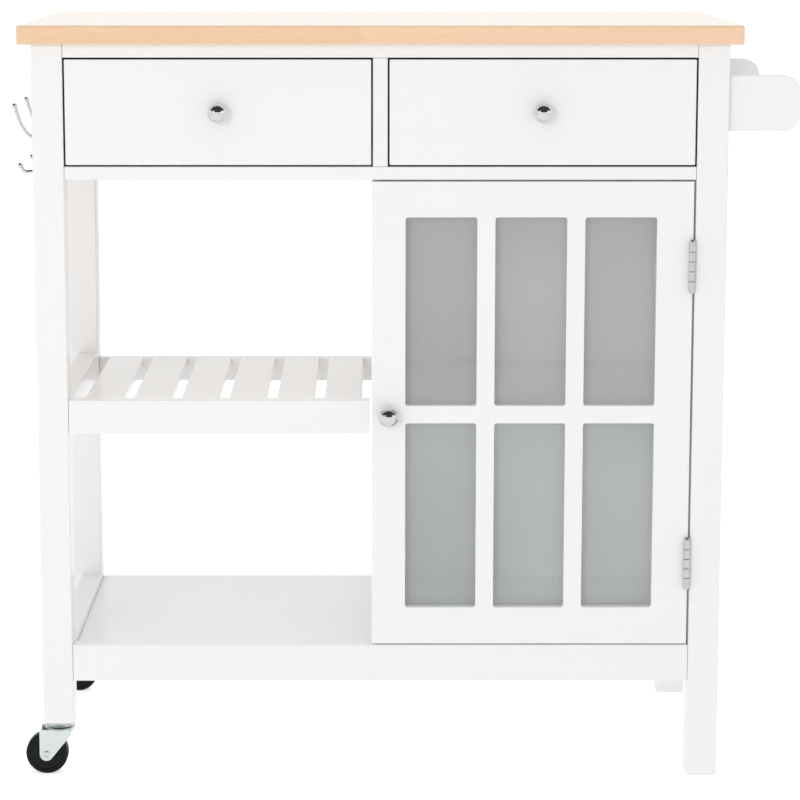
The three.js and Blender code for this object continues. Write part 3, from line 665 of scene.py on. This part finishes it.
CATCH = Vector((0.013, 0.034, 0.022))
CATCH_DROP = 0.020  # from the top of the door to the middle of the catch
CATCH_GAP = 0.0016  # from the back of the door to the catch; the strike plate lies in it
STRIKE_NEAR, STRIKE_FAR = 0.0005, 0.0125  # its two edges, from the divider
STRIKE_SHEET = 0.0010
STRIKE_HALF = 0.009  # half its height
catch_y = door_high.y + CATCH_GAP
catch_z = door_high.z - CATCH_DROP
catch_low = (divider_high.x, catch_y, catch_z - CATCH.z / 2)
catch_high = (divider_high.x + CATCH.x, catch_y + CATCH.y, catch_z + CATCH.z / 2)
catch = sawn("magnetic_catch", catch_low, catch_high)
round_over(catch, radius=0.0012)
fit(catch, "frame", "white_paint", moulded)
strike_low = (divider_high.x + STRIKE_NEAR, door_high.y, catch_z - STRIKE_HALF)
strike_high = (divider_high.x + STRIKE_FAR, door_high.y + STRIKE_SHEET, catch_z + STRIKE_HALF)
strike = sawn("catch_strike_plate", strike_low, strike_high)
round_over(strike, radius=0.0003, segments=2)
fit(strike, "door", "hinge_nickel", plated)

for body, node, board in (("drawer_left", "drawer_left_knob", "drawer_left_front"),
                          ("drawer_right", "drawer_right_knob", "drawer_right_front"),
                          ("door", "door_knob", "door_frame")):
    low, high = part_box(node)
    spot = ((low.x + high.x) / 2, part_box(board)[1].y, (low.z + high.z) / 2)
    fit(screwed(f"knob_screw_{body}", small_screw, [(spot, (0, 1, 0))]), body, "hinge_nickel", plated)

partition_low, partition_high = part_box("drawer_partition")
for node, x, heights in (("cabinet_back", (divider_low.x + divider_high.x) / 2, (0.05, 0.35, 0.65, 0.95)),
                         ("back_panel_upper", (partition_low.x + partition_high.x) / 2, (0.2, 0.8))):
    low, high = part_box(node)
    spots = [((x, high.y, low.z + (high.z - low.z) * share), (0, 1, 0)) for share in heights]
    fit(screwed(f"{node}_screws", small_screw, spots), "frame", "hinge_nickel", plated)

# Round caps cover the bolts that go through the legs into the front and rear rails.
cap_rings = [(0.0055, 0.0), (0.0055, 0.0004), (0.0048, 0.0008), (0.0010, 0.0010)]
bolted_rails = {"front": ("apron_front", "drawer_rail_front"), "rear": ("apron_rear", "back_panel_upper")}
for row, rails in bolted_rails.items():
    for side, outward in (("left", -1), ("right", 1)):
        leg_low, leg_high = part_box(f"leg_{row}_{side}")
        face = leg_low.x if outward < 0 else leg_high.x
        caps = []
        for rail in rails:
            low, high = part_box(rail)
            foot = (face, (low.y + high.y) / 2, (low.z + high.z) / 2)
            caps.append(turned("cap", foot, (outward, 0, 0), cap_rings, 32, 35))
        fit(joined(f"bolt_caps_{row}_{side}", caps), "frame", "white_paint", moulded)


# ---------------------------------------------------------------- hinges
# Two butt hinges of nickel-plated steel, each of two leaves rolled into five knuckles on a pin with domed
# ends. The leaves lie in the gap between the door and the leg, so only the barrel shows in front.

LEAF = 0.0009
LEAF_GAP = 0.0001  # between a leaf and the door's edge
KNUCKLES = 5
KNUCKLE_GAP = 0.0004
KNUCKLE_EDGE = 0.0003
PROUD = 0.0002  # how far a screw stands out of its leaf
LEAF_SCREW_RADIUS = 0.0022
LEAF_SCREW_HEIGHT = LEAF_SCREW_RADIUS * SCREW_HEAD * SCREW_CROWN
LEAF_SCREWS = ((0.008, 0.18), (0.014, 0.5), (0.008, 0.82))  # behind the barrel, and the share of the height
leaf_screw = screw_model(LEAF_SCREW_RADIUS)

for level in ("upper", "lower"):
    low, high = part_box(f"hinge_{level}_frame_leaf")
    door_leaf_low, door_leaf_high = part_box(f"hinge_{level}_door_leaf")
    barrel = (door_leaf_high.x - door_leaf_low.x) / 2
    axis = Vector((door_leaf_low.x + barrel, low.y + barrel, low.z))
    knuckle = (high.z - low.z - (KNUCKLES - 1) * KNUCKLE_GAP) / KNUCKLES
    foot_rings = [(barrel - KNUCKLE_EDGE, 0.0), (barrel, KNUCKLE_EDGE)]
    knuckle_rings = foot_rings + [(radius, knuckle - distance) for radius, distance in reversed(foot_rings)]
    for leaf, body, start in (("frame_leaf", "frame", 0), ("door_leaf", "door", 1)):
        leaf_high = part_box(f"hinge_{level}_{leaf}")[1]
        plate_x = high.x - LEAF if leaf == "frame_leaf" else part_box("door_frame")[1].x + LEAF_GAP
        pieces = [sawn("plate", (plate_x, axis.y + barrel, low.z), (plate_x + LEAF, leaf_high.y, high.z))]
        for i in range(start, KNUCKLES, 2):
            foot = axis + Vector((0, 0, i * (knuckle + KNUCKLE_GAP)))
            pieces.append(turned("knuckle", foot, (0, 0, 1), knuckle_rings, 32, 35))
            bridge_high = (plate_x + LEAF, axis.y + barrel + LEAF, foot.z + knuckle)
            pieces.append(sawn("bridge", (plate_x, axis.y, foot.z), bridge_high))
        hinge_leaf = joined(f"hinge_{level}_{leaf}_rolled", pieces)
        fit(hinge_leaf, body, "hinge_nickel", plated, f"hinge_{level}_{leaf}")
        outward = -1 if leaf == "frame_leaf" else 1
        face = plate_x if leaf == "frame_leaf" else plate_x + LEAF
        sunk = face - outward * (LEAF_SCREW_HEIGHT - PROUD)
        spots = [((sunk, axis.y + barrel + behind, low.z + (high.z - low.z) * share), (outward, 0, 0))
                 for behind, share in LEAF_SCREWS]
        fit(screwed(f"hinge_{level}_{leaf}_screws", leaf_screw, spots), body, "hinge_nickel", plated)
    dome = [(barrel * 0.9, 0.0), *arc_rings(barrel * 0.9, 0.0, 90, 176, 7)]
    for name, z, direction in (("top", high.z, 1), ("foot", low.z, -1)):
        cap = turned(f"hinge_{level}_pin_{name}", (axis.x, axis.y, z), (0, 0, direction), dome, 32)
        fit(cap, "frame", "hinge_nickel", plated)


# ---------------------------------------------------------------- casters
# Plate casters with 50 mm wheels under the two left legs. Zinc-plated pressings make the plate, the ball
# race and the fork; the wheel is black plastic with a smooth tread, on an axle with a riveted end.


def zinc_plate():
    """Bright zinc plating, bluish green and slightly cloudy."""
    material, shader, place = start_finish("zinc_plate", Metallic=1.0)
    cloud = place.noise(60.0, 4.0)
    rolled = place.noise(1300.0, 3.0, (1, 1, 0.1))
    cloud.blend((0.70, 0.76, 0.74, 1), (0.82, 0.86, 0.85, 1)).into(shader, "Base Color")
    (0.20 + cloud * 0.14 + rolled * 0.06).into(shader, "Roughness")
    rolled.bump(shader, 0.00002)
    return material


def black_plastic():
    """Black wheel plastic: a semi-matt moulded skin, scuffed a little greyer where it rolls."""
    material, shader, place = start_finish("black_plastic", Specular_IOR_Level=0.22)
    skin = place.noise(700.0, 3.0)
    scuffs = place.noise(120.0, 4.0, (1, 0.3, 1)).ramp(0.55, 0.8)
    scuffs.blend((0.005, 0.006, 0.006, 1), (0.016, 0.016, 0.016, 1)).into(shader, "Base Color")
    (0.34 + skin * 0.12 + scuffs * 0.15).into(shader, "Roughness")
    skin.bump(shader, 0.00006)
    return material


zinc = zinc_plate()
wheel_plastic = black_plastic()
PLATE_SHEET = 0.00175
PLATE_INSET = 0.001  # from the leg's faces to the plate's edges
PLATE_SCREWS = 0.0148  # from the king pin to each screw, along X and along Y
DISH_DROP = 0.0055  # from the leg to the foot of the plate's ball race
CROWN_HEIGHT = 0.0035  # the round top of the fork
FORK_SHEET = 0.002
CHEEK_PLAY = 0.0005  # between a cheek and the wheel
AXLE_END = 0.008  # the radius of a cheek round the axle
SHOULDER = 0.003  # the round edge of the tread

for row in ("front", "rear"):
    plate_low, plate_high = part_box(f"caster_{row}_plate")
    fork_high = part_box(f"caster_{row}_fork")[1]
    wheel_low, wheel_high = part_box(f"caster_{row}_wheel")
    centre = (plate_low + plate_high) / 2
    leg_low, leg_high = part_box(f"leg_{row}_left")
    plate_top = plate_high.z
    race = (leg_high.x - leg_low.x) / 2

    sheet_low = (leg_low.x + PLATE_INSET, leg_low.y + PLATE_INSET, plate_top - PLATE_SHEET)
    sheet_high = (leg_high.x - PLATE_INSET, leg_high.y - PLATE_INSET, plate_top)
    plate = sawn(f"caster_{row}_top_plate", sheet_low, sheet_high)
    round_over(plate, radius=0.0004, segments=2)
    dish_rings = [(race * 0.62, 0.0), (race * 0.86, 0.0004), (race * 0.97, 0.0012), (race, 0.0021),
                  (race * 0.97, 0.0029), (race * 0.8, 0.0036), (race * 0.55, 0.00375)]
    dish = turned("dish", (centre.x, centre.y, plate_top - DISH_DROP), (0, 0, 1), dish_rings, 48, 50)
    king_rings = [(0.0055, 0), (0.007, 0.0009), (0.007, 0.0025), (0.004, 0.0025), (0.004, 0.0085)]
    king_pin = turned("king_pin", (centre.x, centre.y, plate_low.z), (0, 0, 1), king_rings, 32)
    plate = joined(f"caster_{row}_top_plate", [plate, dish, king_pin])
    fit(plate, "frame", "caster_zinc", zinc, f"caster_{row}_plate")
    screw_z = plate_top - PLATE_SHEET
    corners = [((centre.x + x * PLATE_SCREWS, centre.y + y * PLATE_SCREWS, screw_z), (0, 0, -1))
               for x in (-1, 1) for y in (-1, 1)]
    fit(screwed(f"caster_{row}_plate_screws", leaf_screw, corners), "frame", "hinge_nickel", plated)

    # The fork: two cheeks, each the hull of its round axle end and its top edge, under a round pressed top.
    axle = Vector(((wheel_low.x + wheel_high.x) / 2, centre.y, (wheel_low.z + wheel_high.z) / 2))
    top_z = fork_high.z - CROWN_HEIGHT
    cheek_in = (wheel_high.y - wheel_low.y) / 2 + CHEEK_PLAY
    pieces = []
    for outward in (-1, 1):
        inner = centre.y + outward * cheek_in
        end_rings = [(AXLE_END, 0), (AXLE_END, FORK_SHEET)]
        end = turned("end", (axle.x, inner, axle.z), (0, outward, 0), end_rings, 32)
        near, far = sorted((inner, inner + outward * FORK_SHEET))
        shoulder_high = (centre.x + race * 0.8, far, top_z + 0.001)
        shoulder = sawn("shoulder", (axle.x - AXLE_END, near, top_z - 0.004), shoulder_high)
        select_only(end, shoulder)
        bpy.ops.object.join()
        bpy.ops.object.mode_set(mode="EDIT")
        bpy.ops.mesh.select_all(action="SELECT")
        bpy.ops.mesh.convex_hull()
        bpy.ops.object.mode_set(mode="OBJECT")
        cheek = settle("cheek")
        round_over(cheek, radius=0.0004, segments=2)
        pieces.append(cheek)
    top_rings = [(race * 0.80, 0.0), (race * 0.93, 0.0006), (race * 0.99, 0.0016), (race, 0.0024),
                 (race * 0.97, 0.0031), (race * 0.86, CROWN_HEIGHT), (0.0046, CROWN_HEIGHT)]
    pieces.append(turned("crown", (centre.x, centre.y, top_z), (0, 0, 1), top_rings, 48, 50))
    rivet = [(0.0030, 0.0), (0.0044, 0.0), (0.0044, 0.0006),
             (0.0036, 0.0011), (0.0022, 0.0012), (0.0018, 0.0004)]
    for outward in (-1, 1):
        face = centre.y + outward * (cheek_in + FORK_SHEET)
        pieces.append(turned("rivet", (axle.x, face, axle.z), (0, outward, 0), rivet, 28))
    axle_rings = [(0.003, 0), (0.003, 2 * cheek_in + 0.002)]
    pieces.append(turned("axle", (axle.x, centre.y - cheek_in - 0.001, axle.z), (0, 1, 0), axle_rings, 24))
    fork = joined(f"caster_{row}_pressed_fork", pieces)
    fit(fork, f"caster_{row}", "caster_zinc", zinc, f"caster_{row}_fork")

    # The wheel: a hub boss, a recessed web and a tread with rounded shoulders, the same on both sides.
    width = wheel_high.y - wheel_low.y
    radius = (wheel_high.z - wheel_low.z) / 2
    hub = [(0.0042, 0.0), (0.0076, 0.0), (0.008, 0.0004), (0.008, 0.0021)]
    web = [(0.0095, 0.0026), (0.0185, 0.0026), (0.0196, 0.0022), (0.0202, 0.00125)]
    tread = [(radius - SHOULDER, 0.00125), *arc_rings(SHOULDER, 0.00425, 15, 90, 5, radius - SHOULDER)]
    half = hub + web + tread
    rings = half + [(r, width - d) for r, d in reversed(half)]
    wheel = turned(f"caster_{row}_black_wheel", (axle.x, wheel_low.y, axle.z), (0, 1, 0), rings, 72, 35)
    fit(wheel, f"caster_{row}_roller", "tyre_rubber", wheel_plastic, f"caster_{row}_wheel")


# ---------------------------------------------------------------- coat hooks
# Three double hooks of chrome-plated cast zinc on the left side panel. Each has an oblong plate with two
# screws, a long prong that sweeps up and a short one below, both with a ball at the tip.


def bent_wire(name, points, radii):
    """A round wire bent through points in the plane of X and Z, with a radius of its own at each."""
    bpy.ops.object.select_all(action="DESELECT")
    bpy.ops.curve.primitive_bezier_curve_add()
    wire = bpy.context.object
    spline = wire.data.splines[0]
    spline.bezier_points.add(len(points) - 2)
    for bend, (x, z), radius in zip(spline.bezier_points, points, radii):
        bend.co = (x, 0, z)
        bend.handle_left_type = bend.handle_right_type = "AUTO"
        bend.radius = radius
    wire.data.bevel_depth = 1.0
    wire.data.bevel_resolution = 6
    wire.data.resolution_u = 8
    wire.data.use_fill_caps = True
    bpy.ops.object.convert(target="MESH")
    bpy.ops.object.shade_smooth()
    return settle(name)


PLATE = Vector((0.003, 0.015, 0.062))
PLATE_SCREW_LEVELS = (0.024, -0.010)  # above the middle of the plate
WIRE = 0.0021
TIP = 0.0031
LONG_TIP_RISE = 0.047  # from the middle of the plate to the long prong's tip
HOOKS = 3
hook_low, hook_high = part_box("coat_hook_1")
reach = hook_low.x - hook_high.x
tip = reach + TIP
plate = sawn("plate", (-PLATE.x, -PLATE.y / 2, -PLATE.z / 2), (0, PLATE.y / 2, PLATE.z / 2))
round_over(plate, radius=0.0012, segments=3)
long_path = [(-0.0012, 0.008), (-0.0205, 0.011), (-0.030, 0.021), (tip + 0.004, 0.034), (tip, LONG_TIP_RISE)]
short_path = [(-0.0012, -0.024), (-0.0205, -0.030), (-0.0295, -0.0295), (tip + 0.0055, -0.023)]
parts = [plate]
for path in (long_path, short_path):
    thickness = [WIRE * 1.3] + [WIRE] * (len(path) - 2) + [WIRE * 1.15]
    parts.append(bent_wire("prong", path, thickness))
    x, z = path[-1]
    parts.append(turned("ball", (x, 0, z - TIP), (0, 0, 1), arc_rings(TIP, TIP, 4, 176, 14), 28))
hook = parts[0]
for part in parts[1:]:
    apply_modifier(hook, "BOOLEAN", operation="UNION", solver="EXACT", object=part)
    bpy.data.objects.remove(part)
select_only(hook)
bpy.ops.object.shade_smooth_by_angle(angle=math.radians(40))
for i in range(HOOKS):
    low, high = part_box(f"coat_hook_{i + 1}")
    middle = Vector((high.x, (low.y + high.y) / 2, high.z - TIP - LONG_TIP_RISE))
    one = copy_to(hook, f"double_hook_{i + 1}", middle)
    fit(one, "frame", "chrome", chrome_plate, f"coat_hook_{i + 1}")
    spots = [((middle.x - PLATE.x, middle.y, middle.z + z), (-1, 0, 0)) for z in PLATE_SCREW_LEVELS]
    fit(screwed(f"double_hook_{i + 1}_screws", small_screw, spots), "frame", "chrome", chrome_plate)
bpy.data.objects.remove(hook)


# ---------------------------------------------------------------- towel rack
# Two white brackets with rounded outer ends are screwed to the right legs, and a lacquered round bar is
# glued into a blind hole in each.

bar_low, bar_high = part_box("towel_bar")
bar_radius = (bar_high.z - bar_low.z) / 2
bar_foot = Vector(((bar_low.x + bar_high.x) / 2, bar_low.y, (bar_low.z + bar_high.z) / 2))
bar_length = bar_high.y - bar_low.y
BRACKET_CORNER = 0.022
BAR_EDGE = 0.001
HOLE_PLAY = 0.0002
for row in ("front", "rear"):
    node = f"towel_bracket_{row}"
    low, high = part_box(node)
    bracket = sawn(node + "_plank", low, high)
    round_corners(bracket, BRACKET_CORNER, 16, beyond=(low.x + high.x) / 2)
    hole_rings = [(bar_radius + HOLE_PLAY, 0), (bar_radius + HOLE_PLAY, bar_length)]
    cut_out(bracket, turned("cutter", bar_foot, (0, 1, 0), hole_rings))
    round_over(bracket, radius=0.0014)
    fit(bracket, "frame", "white_paint", lacquer["x"], node)
bar_rings = [(bar_radius - BAR_EDGE, 0), (bar_radius, BAR_EDGE),
             (bar_radius, bar_length - BAR_EDGE), (bar_radius - BAR_EDGE, bar_length)]
bar = turned("towel_bar_dowel", bar_foot, (0, 1, 0), bar_rings, 64)
fit(bar, "frame", "white_paint", lacquer["y"], "towel_bar")
bpy.data.objects.remove(small_screw)
bpy.data.objects.remove(leaf_screw)


# ---------------------------------------------------------------- studio
# A pale seamless floor in a white surround. Polished metal mirrors two tall softboxes and a surround that
# is dark overhead and high up in front. The key light, the lamp above and the rear lamp are kept out of its
# reflections.


def pale_floor():
    material, shader, place = start_finish("pale_floor", Specular_IOR_Level=0.1)
    mottle = place.noise(2.0, 3.0)
    mottle.blend((0.91, 0.91, 0.91, 1), (0.93, 0.93, 0.93, 1)).into(shader, "Base Color")
    (0.8 + mottle * 0.1).into(shader, "Roughness")
    seen = place.node("LightPath", out="Is Camera Ray")
    seen.blend((0.20, 0.20, 0.20, 1), (0.50, 0.50, 0.50, 1)).into(shader, "Emission Color")
    shader.inputs["Emission Strength"].default_value = 1.0
    return material


bpy.ops.object.select_all(action="DESELECT")
FLOOR_RADIUS = 60
bpy.ops.mesh.primitive_circle_add(vertices=96, radius=FLOOR_RADIUS, fill_type="NGON")
floor = bpy.context.object
floor.name = "studio_floor"
floor.data.materials.append(pale_floor())

world = bpy.data.worlds.new("studio")
world.use_nodes = True
bpy.context.scene.world = world
sky = Wire(world.node_tree.nodes.new("ShaderNodeTexCoord").outputs["Generated"])
upward = sky.node("SeparateXYZ", Vector=sky, out="Z")
backward = sky.node("SeparateXYZ", Vector=sky, out="Y")
glossy = sky.node("LightPath", out="Is Glossy Ray")
overhead = upward.ramp(0.30, 0.50)
open_side = (backward * -1.0).ramp(0.25, 0.75) * upward.ramp(0.20, 0.30)
shade = overhead.math("MAXIMUM", overhead, open_side) * glossy
seen = glossy.math("MAXIMUM", glossy, sky.node("LightPath", out="Is Camera Ray"))
background = world.node_tree.nodes["Background"]
shade.blend((1.0, 1.0, 1.0, 1), (0.05, 0.05, 0.052, 1)).into(background, "Color")
(0.695 + seen * 0.325).into(background, "Strength")

AIM = Vector((0, 0, 0.45))  # the lamps all point at the middle of the cart
lamps = (  # name, place, watts, width, height, and whether polished metal mirrors it
    ("left_softbox", (-2.4, -2.9, 2.0), 4.0, 0.3, 1.6, True),
    ("key_softbox", (-1.9, -4.8, 1.7), 37.0, 0.7, 1.4, False),
    ("right_softbox", (2.9, -2.2, 2.0), 3.0, 0.25, 1.6, True),
    ("top_lamp", (0.2, -0.6, 3.2), 8.0, 2.6, 2.0, False),
    ("rear_lamp", (-0.3, 2.6, 1.7), 18.0, 2.4, 1.2, False),
)
for name, place, power, width, height, mirrored in lamps:
    bpy.ops.object.light_add(type="AREA", location=place)
    lamp = bpy.context.object
    lamp.name = name
    lamp.data.shape = "RECTANGLE"
    lamp.data.size = width
    lamp.data.size_y = height
    lamp.data.energy = power
    lamp.rotation_euler = (AIM - Vector(place)).to_track_quat("-Z", "Y").to_euler()
    lamp.visible_glossy = mirrored
    lamp.visible_camera = False

CAMERA_PLACE = (-0.031, -3.295, 1.025)
CAMERA_DIP = 9.11  # degrees below the horizon
bpy.ops.object.camera_add(location=CAMERA_PLACE, rotation=(math.radians(90 - CAMERA_DIP), 0, 0))
camera = bpy.context.object
camera.data.lens = 122.0
camera.data.sensor_width = 36
camera.data.shift_x = 0.03
camera.data.shift_y = -0.075
bpy.context.scene.camera = camera
bpy.context.scene.view_settings.view_transform = "Standard"
bpy.context.scene.cycles.max_bounces = 24
bpy.context.scene.cycles.diffuse_bounces = 16
